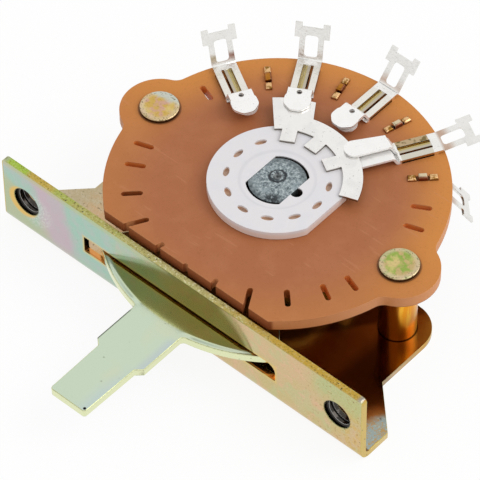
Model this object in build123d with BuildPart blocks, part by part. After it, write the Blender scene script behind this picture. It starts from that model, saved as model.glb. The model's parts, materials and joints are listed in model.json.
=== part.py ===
from build123d import *
from math import cos, radians, sin, sqrt, tan
import os

os.makedirs("parts", exist_ok=True)

# Three-position lever selector switch of the open wafer type, in millimetres and degrees.
# Origin: middle of the line between the mounting holes, on the front face of the plate.
# X runs along the plate, Y back from its front face, Z up from the floor plate to the wafer.

# Frame sizes
sheet = 0.7
bend_inside = 0.6
plate_height = 9.15
plate_corner = 0.5
plate_end = 3.15
hole_spacing = 41.3
hole_height = 4.85
hole_diameter = 3.3
collar_wall = 0.45
collar_depth = 0.9
shoulder_depth = 4.0
pivot_depth = 14.88
floor_ear = 3.45
pivot_lobe_proud = 3.05
pivot_lobe_blend = 2.0

# Lever slot sizes
slot_end_gap = 0.53
slot_corner = 0.15
slot_round = 1.0
slot_below_lever = 0.86
slot_above_lever = 0.39

# Spacer and rivet sizes
post_length = 7.98
post_wall = 0.73
rivet_diameter = 2.4
rivet_fit = 0.02
rivet_head_lip = 0.85
rivet_head = 0.42
rivet_head_edge = 0.16
rivet_tail_lip = 0.5
rivet_tail = 0.35

# Wafer sizes
wafer_thickness = 1.35
wafer_ear = 4.1
wafer_ear_blend = 1.5
wafer_front_gap = 0.5
slot_count = 24
rivet_slit_angle = 19
slit_gap = 0.9
slit_length = 2.2
slit_width = 0.6
slit_edge = 1.8
open_slit_extra = 0.8
post_setback = 1.55

# Rotor and blade sizes
rotor_wall = 4.12
rotor_rise = 1.05
rotor_gap = 0.05
rotor_shoulder = 1.07
flat_cut = 0.64
spigot_gap = 0.08
recess_wall = 0.7
recess_slope = 0.45
recess_depth = 0.15
bore_gap = 0.25
flat_gap = 0.02
keyhole_radius = 0.62
keyhole_offset = 0.3
stake_count = 12
stake_inset = 1.87
stake_length = 1.3
stake_width = 0.62
stake_depth = 0.5
blade_thickness = 0.3
blade_lap = 0.57
blade_proud = 1.43
blade_first_angle = 20
lobe_proud = 2.2
lobe_first_angle = 110
lobe_last_angle = 134
lobe_flare_angle = 10
tooth_count = 3
tooth_width = 1.55
tooth_fit = 0.05
tooth_depth = 0.4

# Clip sizes
strip = 0.25
strip_width = 2.5
strip_bend = 0.35
jaw_gap = 0.03
throw_gap = 0.4
throw_pad_radius = 1.38
throw_pad_sides = 8
throw_pad_corner = 0.8
throw_hole_radius = 0.28
throw_hole_offset = 1.1
common_lap = 1.15
common_tip_radius = 1.05
common_near_edge = 0.15
common_root_width = 1.7
common_root_length = 0.5
common_leaf_shift = 0.85
arm_gap = 1.2
arm_slope = 0.6
leaf_arm_gap = 1.15
leaf_arm_slope = 0.43
leaf_offset = 0.3
leaf_pad_radius = 1.05
leaf_finger = 1.9
leaf_setback = 0.45
lug_setback = 0.35
lug_length = 3.6
lug_window_start = 0.35
lug_end_bar = 0.85
lug_side_bar = 0.55
lug_window_corner = 0.35
horn_root = 1.15
horn_tip = 0.45
horn_overlap = 0.15
horn_flare = 0.55
neck_window_over = 0.65
neck_side_bar = 0.7
tongue_thickness = 0.5
tongue_sink = 0.06
clinch_end = 0.9
clinch_lip = 0.05
clinch_height = 0.36
clinch_middle = 0.95
clinch_middle_height = 0.55
clinch_round = 0.26

# Clips: name, place counted in wafer slots from the X axis, and tilt of the solder lug
upper_clips = [("throw_1", 10, 62), ("throw_2", 8, 65), ("throw_3", 6, 47), ("common", 4, 11)]
lower_clips = [("throw_1", 9, 58), ("throw_2", 7, 60), ("throw_3", 5, 52), ("common", 3, 54)]

# Shaft sizes
journal_diameter = 4.0
journal_gap = 0.05
flare_lip = 0.4
flare_depth = 0.4
flare_recess = 0.05
washer_diameter = 9.0
washer_thickness = 0.3
washer_gap = 0.04
shaft_diameter = 5.9
shaft_flats = 4.4
shaft_recess = 0.2
flange_lip = 0.95
flange_height = 0.66
punch_left = 0.4
punch_back = 0.45
punch_radius = 0.6
punch_depth = 0.3
ring_radius = 0.8
ring_width = 0.16
ring_depth = 0.08

# Detent sizes
detent_angle = 30
detent_count = 3
cam_wall = 2.25
cam_height = 1.5
notch_radius = 1.05
notch_setback = 0.3
nose_gap = 0.1
nose_flat = 0.02
spring_thickness = 0.3
spring_below_cam = 0.3
spring_above_cam = 0.4
spring_run = 0.7
spring_bend = 0.4
spring_fixed_end = 12.0
spring_free_end = 5.0
foot_length = 4.0
foot_width = 3.2
spring_rivet_diameter = 1.6
spring_rivet_lip = 0.5
spring_rivet_head = 0.4

# Lever sizes
lever_angle = 270
lever_thickness = 0.93
lever_spacer_wall = 1.25
lever_spacer_height = 1.04
retainer_wall = 1.65
retainer_thickness = 0.4
hub_wall = 4.05
hub_blend = 1.5
sector_proud = 3.1
sector_half_angle = 42
stem_width = 6.2
stem_reach = 8.35
stem_root = 0.5
step_depth = 0.7
step_length = 0.65
tip_length = 7.0
tip_taper = 0.12
tip_corner = 0.35

# Radii round the pivot, from the shaft outwards
shaft_radius = shaft_diameter / 2
rotor_radius = shaft_radius + rotor_wall
spigot_radius = rotor_radius - rotor_shoulder
stake_radius = rotor_radius - stake_inset
blade_inner = rotor_radius - blade_lap
blade_outer = rotor_radius + blade_proud
lobe_outer = blade_outer + lobe_proud
common_tip_centre = blade_outer - common_lap + common_tip_radius
throw_pad_centre = blade_outer + throw_gap + throw_pad_radius
leaf_arm_top = lobe_outer + leaf_arm_gap
leaf_arm_foot = leaf_arm_top + leaf_arm_slope
arm_top = lobe_outer + arm_gap
arm_foot = arm_top + arm_slope
slit_inner = arm_foot + slit_gap
slit_centre = slit_inner + slit_length / 2
wafer_radius = slit_inner + slit_length + slit_edge
lug_bend = wafer_radius - lug_setback
leaf_end = lug_bend - leaf_setback
post_x = wafer_radius - post_setback
cam_radius = shaft_radius + cam_wall
notch_centre = cam_radius + notch_setback

# Heights, from the floor plate upwards
floor_bottom = -hole_height
floor_top = floor_bottom + sheet
plate_top = floor_bottom + plate_height
wafer_bottom = floor_top + post_length
wafer_top = wafer_bottom + wafer_thickness
wafer_middle = wafer_bottom + wafer_thickness / 2
rotor_top = wafer_top + rotor_rise
blade_top = rotor_top + blade_thickness
shaft_top = rotor_top - shaft_recess
flange_bottom = floor_top + washer_thickness + washer_gap
cam_bottom = flange_bottom + flange_height
cam_top = cam_bottom + cam_height
spring_bottom = cam_bottom - spring_below_cam
lever_bottom = cam_top + lever_spacer_height
lever_top = lever_bottom + lever_thickness
slot_bottom = lever_bottom - slot_below_lever
slot_height = slot_below_lever + lever_thickness + slot_above_lever

# Other sizes that follow
plate_half = hole_spacing / 2 + plate_end
hole_radius = hole_diameter / 2
floor_half = post_x + floor_ear
floor_neck = shoulder_depth + plate_half - floor_half
rivet_radius = rivet_diameter / 2
rivet_hole = rivet_radius + rivet_fit
wafer_front = sheet + wafer_front_gap
slot_pitch = 360 / slot_count
stake_pitch = 360 / stake_count
clinch_width = slit_width + 2 * clinch_lip
journal_radius = journal_diameter / 2
flare_radius = journal_radius + flare_lip
sector_radius = pivot_depth + sector_proud
stem_half = stem_width / 2
stem_end = pivot_depth + stem_reach
neck_end = stem_end + step_length
tip_end = neck_end + tip_length
throw_reach = pivot_depth * tan(radians(detent_angle)) + stem_half / cos(radians(detent_angle))
slot_length = 2 * (throw_reach + slot_end_gap)
nose_half = notch_radius - nose_gap - spring_thickness / 2
nose_round = nose_half - nose_flat
nose_line = -notch_centre + nose_half
leaf_line = -notch_centre - spring_run
foot_x = -spring_fixed_end + foot_length / 2
foot_y = pivot_depth + leaf_line - foot_width / 2

pivot = Axis((0, pivot_depth, 0), (0, 0, 1))
seated = (Align.CENTER, Align.CENTER, Align.MIN)


def level(height):
    """Horizontal plane centred on the pivot."""
    return Plane(origin=(0, pivot_depth, height))


def upright(x):
    """Upright plane through the pivot's depth, facing the front."""
    return Plane(origin=(x, pivot_depth, 0), x_dir=(1, 0, 0), z_dir=(0, -1, 0))


def outward(angle):
    """Direction away from the pivot."""
    return Vector(cos(radians(angle)), sin(radians(angle)), 0)


def profile(angle):
    """Upright plane through the pivot, with x running outward."""
    return Plane(origin=(0, pivot_depth, 0), x_dir=outward(angle), z_dir=outward(angle - 90))


def plan(angle, height):
    """Horizontal plane centred on the pivot, with x running outward."""
    return Plane(origin=(0, pivot_depth, height), x_dir=outward(angle), z_dir=(0, 0, 1))


def save(builder, name):
    """Label a finished piece and write it out."""
    builder.part.label = name
    export_step(builder.part, f"parts/{name}.step")


def double_d(gap_round, gap_flat):
    """Shaft section with its two flats, grown by the given gaps, in the open sketch."""
    radius = shaft_radius + gap_round
    Circle(radius)
    Rectangle(shaft_flats + 2 * gap_flat, 2 * radius, mode=Mode.INTERSECT)


# Folded frame: front plate, bend and floor plate
with BuildPart() as frame:
    with BuildSketch(Plane.YZ.offset(-plate_half)) as fold:
        with BuildLine():
            Polyline(
                (shoulder_depth, floor_bottom),
                (0, floor_bottom),
                (0, plate_top),
                (sheet, plate_top),
                (sheet, floor_top),
                (shoulder_depth, floor_top),
                close=True,
            )
        make_face()
        fillet(fold.vertices().sort_by_distance((0, floor_bottom))[0], bend_inside + sheet)
        fillet(fold.vertices().sort_by_distance((sheet, floor_top))[0], bend_inside)
    extrude(amount=2 * plate_half)
    fillet(frame.edges().filter_by(Axis.Y).group_by(Axis.Z)[-1], plate_corner)
    with BuildSketch(Plane.XY.offset(floor_bottom)) as floor:
        with BuildLine():
            Polyline(
                (-plate_half, shoulder_depth),
                (plate_half, shoulder_depth),
                (floor_half, floor_neck),
                (floor_half, pivot_depth),
                (-floor_half, pivot_depth),
                (-floor_half, floor_neck),
                close=True,
            )
        make_face()
        with Locations((-post_x, pivot_depth), (post_x, pivot_depth)):
            Circle(floor_ear)
        with Locations((0, pivot_depth)):
            Rectangle(2 * post_x, floor_ear, align=(Align.CENTER, Align.MIN))
            Circle(floor_ear + pivot_lobe_proud)
        lobe_roots = floor.vertices().group_by(Axis.Y)[-1].sort_by(lambda v: abs(v.X))[:2]
        fillet(lobe_roots, pivot_lobe_blend)
    extrude(amount=sheet)
    with BuildSketch(Plane.XZ) as openings:
        with Locations((0, slot_bottom + slot_height / 2)):
            Rectangle(slot_length, slot_height)
        fillet(openings.vertices().sort_by(lambda v: v.X + v.Y)[:-1], slot_corner)
        fillet(openings.vertices().sort_by(lambda v: v.X + v.Y)[-1], slot_round)
        with GridLocations(hole_spacing, 0, 2, 1):
            Circle(hole_radius)
    extrude(amount=-sheet, mode=Mode.SUBTRACT)
    with BuildSketch(Plane.XZ.offset(-sheet)):
        with GridLocations(hole_spacing, 0, 2, 1):
            Circle(hole_radius + collar_wall)
            Circle(hole_radius, mode=Mode.SUBTRACT)
    extrude(amount=-collar_depth)
    with Locations((-post_x, pivot_depth, floor_bottom), (post_x, pivot_depth, floor_bottom)):
        Cylinder(rivet_hole, sheet, align=seated, mode=Mode.SUBTRACT)
        Cone(rivet_radius + rivet_tail_lip, rivet_radius, rivet_tail, align=seated, mode=Mode.SUBTRACT)
    with Locations((0, pivot_depth, floor_bottom)):
        Cylinder(journal_radius + journal_gap, sheet, align=seated, mode=Mode.SUBTRACT)
        Cone(
            flare_radius + flare_recess + journal_gap,
            journal_radius + journal_gap,
            flare_depth + flare_recess,
            align=seated,
            mode=Mode.SUBTRACT,
        )
    with Locations((foot_x, foot_y, floor_bottom)):
        Cylinder(spring_rivet_diameter / 2, sheet, align=seated, mode=Mode.SUBTRACT)
save(frame, "frame")

# Spacer posts and the rivets through them
for name, side in (("left", -1), ("right", 1)):
    with BuildPart() as spacer:
        with Locations((side * post_x, pivot_depth, floor_top)):
            Cylinder(rivet_hole + post_wall, post_length, align=seated)
            Cylinder(rivet_hole, post_length, align=seated, mode=Mode.SUBTRACT)
    save(spacer, f"spacer_{name}")

    with BuildPart() as rivet:
        with BuildSketch(upright(side * post_x)):
            with BuildLine():
                Polyline(
                    (0, floor_bottom),
                    (rivet_radius + rivet_tail_lip, floor_bottom),
                    (rivet_radius, floor_bottom + rivet_tail),
                    (rivet_radius, wafer_top),
                    (rivet_radius + rivet_head_lip, wafer_top),
                    (rivet_radius + rivet_head_lip, wafer_top + rivet_head),
                    (0, wafer_top + rivet_head),
                    close=True,
                )
            make_face()
        revolve(axis=Axis((side * post_x, pivot_depth, 0), (0, 0, 1)))
        fillet(rivet.edges().group_by(Axis.Z)[-1], rivet_head_edge)
    save(rivet, f"rivet_{name}")

# Wafer with its ring of radial slits, those beside the rivets moved out of the ears' way
slits_per_side = slot_count // 2
slit_angles = [side + rank * slot_pitch for side in (0, 180) for rank in range(2, slits_per_side - 1)]
slit_angles += [side + turn for side in (0, 180) for turn in (-rivet_slit_angle, rivet_slit_angle)]
with BuildPart() as wafer:
    with BuildSketch(level(wafer_bottom)) as outline:
        Circle(wafer_radius)
        with Locations((-post_x, 0), (post_x, 0)):
            Circle(wafer_ear)
        fillet(outline.vertices().filter_by(lambda v: abs(v.Y) > wafer_ear / 2), wafer_ear_blend)
        with Locations((0, wafer_front - pivot_depth)):
            Rectangle(2 * wafer_radius, wafer_radius, align=(Align.CENTER, Align.MAX), mode=Mode.SUBTRACT)
        Circle(spigot_radius + spigot_gap, mode=Mode.SUBTRACT)
        with Locations((-post_x, 0), (post_x, 0)):
            Circle(rivet_hole, mode=Mode.SUBTRACT)
        for angle in slit_angles:
            with PolarLocations(slit_centre, 1, angle):
                SlotOverall(slit_length, slit_width, mode=Mode.SUBTRACT)
        for angle in (lever_angle - 2 * slot_pitch, lever_angle + 2 * slot_pitch):
            with PolarLocations(slit_centre, 1, angle):
                Rectangle(
                    slit_length / 2 + open_slit_extra,
                    slit_width,
                    align=(Align.MIN, Align.CENTER),
                    mode=Mode.SUBTRACT,
                )
    extrude(amount=wafer_thickness)
save(wafer, "wafer")


def throw_pad(angle, height, offset, radius):
    """Pad of a throw clip's jaw: a blunted octagon."""
    with BuildSketch(plan(angle, height)) as face:
        with Locations((throw_pad_centre, offset)):
            RegularPolygon(
                radius,
                throw_pad_sides,
                major_radius=False,
                rotation=180 / throw_pad_sides,
            )
        fillet(face.vertices(), throw_pad_corner)
    return face.sketch


def common_finger(angle, height, offset):
    """Finger of the common clip's jaw: a round tip that narrows towards the arm."""
    with BuildSketch(plan(angle, height)) as face:
        with Locations((common_tip_centre, common_tip_radius + offset)):
            Circle(common_tip_radius)
        with Locations((arm_top, offset)):
            Rectangle(common_root_length, common_root_width, align=(Align.MAX, Align.MIN))
        make_hull()
    return face.sketch


def neck_window(angle, height):
    """Window in the neck of a clip, round the tongue."""
    with BuildSketch(plan(angle, height)) as face:
        with Locations((slit_centre, 0)):
            Rectangle(slit_length + 2 * neck_window_over, strip_width - 2 * neck_side_bar)
    return face.sketch


def make_terminal(name, angle, tilt, common, below):
    """Terminal: solder lug, neck with its clinched tongue, and the outer jaw."""
    jaw = blade_top + jaw_gap + strip / 2
    neck = wafer_top + strip + strip / 2
    lug_rise = lug_length * sin(radians(tilt))
    lug_run = lug_length * cos(radians(tilt))
    with BuildPart() as terminal:
        with BuildSketch(profile(angle)):
            with BuildLine():
                FilletPolyline(
                    (common_tip_centre if common else throw_pad_centre, jaw),
                    (arm_top, jaw),
                    (arm_foot, neck),
                    (lug_bend, neck),
                    (lug_bend + lug_run, neck + lug_rise),
                    radius=strip_bend,
                )
            trace(line_width=strip)
        extrude(amount=strip_width / 2, both=True)
        if common:
            with BuildSketch(plan(angle, neck - strip / 2)):
                with Locations((arm_foot, -common_near_edge)):
                    Rectangle(arm_foot, strip_width, align=(Align.MAX, Align.MAX))
            extrude(amount=jaw + strip - neck, mode=Mode.SUBTRACT)
            extrude(common_finger(angle, jaw - strip / 2, -common_near_edge), amount=strip)
        else:
            extrude(throw_pad(angle, jaw - strip / 2, 0, throw_pad_radius), amount=strip)
            with BuildSketch(plan(angle, jaw - strip)):
                with Locations((throw_pad_centre + throw_hole_offset, 0)):
                    Circle(throw_hole_radius)
            extrude(amount=2 * strip, mode=Mode.SUBTRACT)

        # Lug: two horns at its end and the window for the wire
        lug_face = Plane(
            origin=Vector(0, pivot_depth, neck) + outward(angle) * lug_bend,
            x_dir=outward(angle - 90),
            z_dir=Vector(0, 0, cos(radians(tilt))) - outward(angle) * sin(radians(tilt)),
        )
        horn_x = (strip_width + horn_flare - horn_overlap) / 2
        with BuildSketch(lug_face):
            with Locations((-horn_x, lug_length - horn_root), (horn_x, lug_length - horn_root)):
                Rectangle(
                    horn_overlap + horn_flare,
                    horn_root + horn_tip,
                    align=(Align.CENTER, Align.MIN),
                )
        extrude(amount=strip / 2, both=True)
        with BuildSketch(lug_face):
            with Locations((0, (lug_window_start + lug_length - lug_end_bar) / 2)):
                RectangleRounded(
                    strip_width - 2 * lug_side_bar,
                    lug_length - lug_end_bar - lug_window_start,
                    lug_window_corner,
                )
        extrude(amount=strip, both=True, mode=Mode.SUBTRACT)

        # Neck: open window with the tongue standing in its middle
        extrude(neck_window(angle, neck - strip / 2), amount=strip, mode=Mode.SUBTRACT)
        with BuildSketch(plan(angle, neck - strip / 2)):
            with Locations((slit_centre, 0)):
                Rectangle(slit_length + 2 * neck_window_over, tongue_thickness)
        extrude(amount=strip - tongue_sink)

        # Tongue through the wafer, clinched on the far side
        with BuildSketch(plan(angle, neck - strip / 2)):
            with Locations((slit_centre, 0)):
                Rectangle(slit_length - slit_width, tongue_thickness)
        extrude(amount=wafer_bottom - neck + strip / 2)
        with BuildSketch(plan(angle, wafer_bottom)):
            with Locations((slit_inner, 0), (slit_inner + slit_length, 0)):
                Rectangle(clinch_end, clinch_width)
        extrude(amount=-clinch_height)
        fillet(terminal.edges().group_by(Axis.Z)[0], clinch_round)
        with BuildSketch(plan(angle, wafer_bottom)):
            with Locations((slit_centre, 0)):
                Rectangle(clinch_middle, clinch_width)
        extrude(amount=-clinch_middle_height)
        fillet(terminal.edges().group_by(Axis.Z)[0], clinch_round)
        if below:
            mirror(about=Plane.XY.offset(wafer_middle), mode=Mode.REPLACE)
    save(terminal, name)


def make_contact(name, angle, common, below):
    """Contact leaf: the inner jaw of a clip, held under the terminal's neck."""
    jaw = rotor_top - jaw_gap - strip / 2
    neck = wafer_top + strip / 2
    with BuildPart() as contact:
        with BuildSketch(profile(angle)):
            with BuildLine():
                FilletPolyline(
                    (common_tip_centre if common else throw_pad_centre, jaw),
                    (leaf_arm_top, jaw),
                    (leaf_arm_foot, neck),
                    (leaf_end, neck),
                    radius=strip_bend,
                )
            trace(line_width=strip)
        extrude(amount=strip_width / 2, both=True)
        if common:
            leaf_edge = -common_near_edge - common_leaf_shift
            extrude(common_finger(angle, jaw - strip / 2, leaf_edge), amount=strip)
        else:
            with BuildSketch(plan(angle, wafer_top + strip)):
                with Locations((leaf_arm_foot, 0)):
                    Rectangle(leaf_arm_foot, 2 * strip_width, align=(Align.MAX, Align.CENTER))
                    Rectangle(leaf_arm_foot, leaf_finger, align=(Align.MAX, Align.CENTER), mode=Mode.SUBTRACT)
            extrude(amount=jaw - wafer_top, mode=Mode.SUBTRACT)
            extrude(throw_pad(angle, jaw - strip / 2, -leaf_offset, leaf_pad_radius), amount=strip)
        extrude(neck_window(angle, wafer_top), amount=strip, mode=Mode.SUBTRACT)
        if below:
            mirror(about=Plane.XY.offset(wafer_middle), mode=Mode.REPLACE)
    save(contact, name)


for face, clips in (("upper", upper_clips), ("lower", lower_clips)):
    for place, slot, tilt in clips:
        is_common = place == "common"
        make_terminal(f"terminal_{face}_{place}", slot * slot_pitch, tilt, is_common, face == "lower")
        make_contact(f"contact_{face}_{place}", slot * slot_pitch, is_common, face == "lower")

# Rotor halves and their blades, the lower pair turned back by one slot
for face, turn in (("upper", 0), ("lower", -slot_pitch)):
    with BuildPart() as rotor:
        with BuildSketch(level(wafer_top + rotor_gap)):
            Circle(rotor_radius)
            with Locations((rotor_radius - flat_cut, 0)):
                Rectangle(flat_cut, 2 * rotor_radius, align=(Align.MIN, Align.CENTER), mode=Mode.SUBTRACT)
        extrude(amount=rotor_rise - rotor_gap)
        with BuildSketch(level(wafer_middle)):
            Circle(spigot_radius)
        extrude(amount=wafer_thickness / 2 + rotor_gap)
        with Locations((0, pivot_depth, rotor_top)):
            Cone(
                shaft_radius + recess_wall,
                shaft_radius + recess_wall + recess_slope,
                recess_depth,
                align=(Align.CENTER, Align.CENTER, Align.MAX),
                mode=Mode.SUBTRACT,
            )
        with BuildSketch(level(rotor_top)):
            with PolarLocations(stake_radius, stake_count, turn):
                Ellipse(stake_width / 2, stake_length / 2)
        extrude(amount=-stake_depth, mode=Mode.SUBTRACT)
        with BuildSketch(level(wafer_middle)):
            double_d(bore_gap, flat_gap)
            with Locations((shaft_flats / 2 + keyhole_offset, 0)):
                Circle(keyhole_radius)
        extrude(amount=rotor_top - wafer_middle, mode=Mode.SUBTRACT)
        if face == "lower":
            mirror(about=Plane.XY.offset(wafer_middle), mode=Mode.REPLACE)
    save(rotor, f"rotor_{face}")

    # Ring of the blade, its lobe, and the teeth staked into the rotor
    first_tooth = 2 * stake_pitch + turn
    tooth_span = (tooth_count - 1) * stake_pitch
    with BuildPart() as blade:
        with BuildSketch(level(rotor_top)):
            for outer, first, flare in (
                (blade_outer, blade_first_angle, 0),
                (lobe_outer, lobe_first_angle, lobe_flare_angle),
            ):
                root = first - flare
                with BuildLine():
                    rim = CenterArc((0, 0), outer, first + turn, lobe_last_angle - first)
                    edge = CenterArc((0, 0), blade_inner, root + turn, lobe_last_angle - root)
                    Line(rim @ 0, edge @ 0)
                    Line(rim @ 1, edge @ 1)
                make_face()
            with PolarLocations(stake_radius, tooth_count, first_tooth, tooth_span, endpoint=True):
                with Locations((-stake_width / 2, 0)):
                    Rectangle(
                        blade_inner - stake_radius + stake_width,
                        tooth_width,
                        align=(Align.MIN, Align.CENTER),
                    )
        extrude(amount=blade_thickness)
        with BuildSketch(level(rotor_top)):
            with PolarLocations(stake_radius, tooth_count, first_tooth, tooth_span, endpoint=True):
                Ellipse(stake_width / 2 - tooth_fit, stake_length / 2 - tooth_fit)
        extrude(amount=-tooth_depth)
        if face == "lower":
            mirror(about=Plane.XY.offset(wafer_middle), mode=Mode.REPLACE)
    save(blade, f"blade_{face}")

# Pivot washer on the floor
with BuildPart() as pivot_washer:
    with BuildSketch(level(floor_top)):
        Circle(washer_diameter / 2)
        Circle(journal_radius + journal_gap, mode=Mode.SUBTRACT)
    extrude(amount=washer_thickness)
save(pivot_washer, "pivot_washer")

# Shaft: flared journal in the floor, flange, and the section with two flats
with BuildPart() as shaft:
    with BuildSketch(upright(0)):
        with BuildLine():
            Polyline(
                (0, floor_bottom + flare_recess),
                (flare_radius, floor_bottom + flare_recess),
                (journal_radius, floor_bottom + flare_depth),
                (journal_radius, flange_bottom),
                (shaft_radius + flange_lip, flange_bottom),
                (shaft_radius + flange_lip, cam_bottom),
                (0, cam_bottom),
                close=True,
            )
        make_face()
    revolve(axis=pivot)
    with BuildSketch(level(cam_bottom)):
        double_d(0, 0)
    extrude(amount=shaft_top - cam_bottom)
    with Locations((-punch_left, pivot_depth + punch_back, shaft_top)):
        Cone(
            0.0,
            punch_radius,
            punch_depth,
            align=(Align.CENTER, Align.CENTER, Align.MAX),
            mode=Mode.SUBTRACT,
        )
    with BuildSketch(level(shaft_top)):
        with Locations((-punch_left, punch_back)):
            Circle(ring_radius + ring_width / 2)
            Circle(ring_radius - ring_width / 2, mode=Mode.SUBTRACT)
    extrude(amount=-ring_depth, mode=Mode.SUBTRACT)
save(shaft, "shaft")

# Detent cam with a notch for each lever position
first_notch = lever_angle - (detent_count - 1) / 2 * detent_angle
notch_span = (detent_count - 1) * detent_angle
with BuildPart() as detent_cam:
    with BuildSketch(level(cam_bottom)):
        Circle(cam_radius)
        with PolarLocations(notch_centre, detent_count, first_notch, notch_span, endpoint=True):
            Circle(notch_radius, mode=Mode.SUBTRACT)
    extrude(amount=cam_height)
    with BuildSketch(level(cam_bottom)):
        double_d(flat_gap, flat_gap)
    extrude(amount=cam_height, mode=Mode.SUBTRACT)
save(detent_cam, "detent_cam")

# Detent spring: a leaf on edge with a rounded nose in the cam's notch and a foot on the floor
with BuildPart() as detent_spring:
    with BuildSketch(level(spring_bottom)):
        with BuildLine():
            FilletPolyline(
                (-spring_fixed_end, leaf_line),
                (-nose_half, leaf_line),
                (-nose_half, nose_line),
                (nose_half, nose_line),
                (nose_half, leaf_line),
                (spring_free_end, leaf_line),
                radius=(spring_bend, nose_round, nose_round, spring_bend),
            )
        trace(line_width=spring_thickness)
    extrude(amount=cam_top + spring_above_cam - spring_bottom)
    with BuildSketch(Plane.XY.offset(floor_top)):
        with Locations((foot_x, foot_y)):
            Rectangle(foot_length, foot_width + spring_thickness)
            Circle(spring_rivet_diameter / 2, mode=Mode.SUBTRACT)
    extrude(amount=spring_thickness)
    with BuildSketch(Plane.XY.offset(floor_top)):
        with Locations((foot_x, pivot_depth + leaf_line)):
            Rectangle(foot_length, spring_thickness)
    extrude(amount=spring_bottom - floor_top)
save(detent_spring, "detent_spring")

# Rivet of the detent spring, flush below the floor
with BuildPart() as spring_rivet:
    with Locations((foot_x, foot_y, floor_bottom)):
        Cylinder(spring_rivet_diameter / 2, sheet + spring_thickness, align=seated)
    with Locations((foot_x, foot_y, floor_top + spring_thickness)):
        Cylinder(spring_rivet_diameter / 2 + spring_rivet_lip, spring_rivet_head, align=seated)
    fillet(spring_rivet.edges().group_by(Axis.Z)[-1], rivet_head_edge)
save(spring_rivet, "spring_rivet")

# Spacer below the lever and retaining ring above it
for name, wall, bottom, height in (
    ("lever_spacer", lever_spacer_wall, cam_top, lever_spacer_height),
    ("lever_retainer", retainer_wall, lever_top, retainer_thickness),
):
    with BuildPart() as ring:
        with BuildSketch(level(bottom)):
            Circle(shaft_radius + wall)
        extrude(amount=height)
        with BuildSketch(level(bottom)):
            double_d(flat_gap, flat_gap)
        extrude(amount=height, mode=Mode.SUBTRACT)
    save(ring, name)

# Lever: hub, sector that fills the slot, stem and tip
hub_radius = shaft_radius + hub_wall
root_reach = sqrt(sector_radius**2 - stem_half**2)
with BuildPart() as lever:
    with BuildSketch(level(lever_bottom)) as blank:
        with BuildLine():
            rim = CenterArc((0, 0), sector_radius, lever_angle - sector_half_angle, 2 * sector_half_angle)
            Line((0, 0), rim @ 0)
            Line((0, 0), rim @ 1)
        make_face()
        Circle(hub_radius)
        fillet(blank.vertices().filter_by(lambda v: v.Y > -hub_radius), hub_blend)
        with BuildLine():
            right_side = Polyline(
                (0, 0),
                (stem_half, 0),
                (stem_half, -stem_end),
                (stem_half - step_depth, -neck_end),
                (stem_half - step_depth - tip_taper, -tip_end),
                (0, -tip_end),
            )
            mirror(right_side, about=Plane.YZ)
        make_face()
        corners = blank.vertices()
        roots = [corners.sort_by_distance((x, -root_reach))[0] for x in (-stem_half, stem_half)]
        fillet(roots, stem_root)
        fillet(blank.vertices().group_by(Axis.Y)[0], tip_corner)
    extrude(amount=lever_thickness)
    with BuildSketch(level(lever_bottom)):
        double_d(flat_gap, flat_gap)
    extrude(amount=lever_thickness, mode=Mode.SUBTRACT)
save(lever, "lever")
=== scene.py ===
import json
from math import cos, pi, radians, sin

import bpy
from mathutils import Matrix, Vector

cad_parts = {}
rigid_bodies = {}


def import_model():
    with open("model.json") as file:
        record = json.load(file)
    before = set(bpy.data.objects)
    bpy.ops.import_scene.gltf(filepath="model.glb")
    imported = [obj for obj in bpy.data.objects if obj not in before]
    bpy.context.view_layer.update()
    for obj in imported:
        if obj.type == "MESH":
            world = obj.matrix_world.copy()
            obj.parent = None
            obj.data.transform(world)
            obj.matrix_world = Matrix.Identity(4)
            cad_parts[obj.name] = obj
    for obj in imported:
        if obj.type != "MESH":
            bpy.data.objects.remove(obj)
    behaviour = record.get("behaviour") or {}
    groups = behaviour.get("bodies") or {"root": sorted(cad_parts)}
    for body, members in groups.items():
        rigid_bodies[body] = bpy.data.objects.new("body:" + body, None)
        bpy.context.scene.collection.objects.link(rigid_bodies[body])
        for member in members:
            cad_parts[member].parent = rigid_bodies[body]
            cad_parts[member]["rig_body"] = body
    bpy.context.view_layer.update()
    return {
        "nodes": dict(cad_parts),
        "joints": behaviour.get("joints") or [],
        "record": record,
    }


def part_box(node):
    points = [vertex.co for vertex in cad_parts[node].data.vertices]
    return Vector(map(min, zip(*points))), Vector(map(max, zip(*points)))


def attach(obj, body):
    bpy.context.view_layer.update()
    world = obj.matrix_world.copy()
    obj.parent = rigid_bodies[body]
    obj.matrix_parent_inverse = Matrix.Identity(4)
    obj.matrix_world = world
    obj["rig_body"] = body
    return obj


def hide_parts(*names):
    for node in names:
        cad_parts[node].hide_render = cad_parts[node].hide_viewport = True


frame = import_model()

MM = 0.001

# Places read from the frame, in metres
PIVOT = Vector(frame["joints"][0]["pos_m"])
PLATE_LOW, PLATE_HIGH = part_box("frame")
WAFER_LOW, WAFER_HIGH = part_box("wafer")
HOLES = next(m for m in frame["record"]["mounts"] if m["name"] == "mounting_holes")
HOLE_X = HOLES["dims"]["spacing_x_mm"] / 2 * MM
HOLE_RADIUS = HOLES["dims"]["hole_r_mm"] * MM

# Camera: angles in degrees, lengths in metres, lens and sensor in millimetres
CAMERA_AZIMUTH = 42.192
CAMERA_ELEVATION = 49.503
CAMERA_ROLL = -0.79
CAMERA_TARGET = Vector((-0.000418, 0.009679, 0.001153))
CAMERA_DISTANCE = 0.403853
CAMERA_LENS = 304.0
CAMERA_SENSOR = 36.0
CAMERA_NEAR = 0.01

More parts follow.
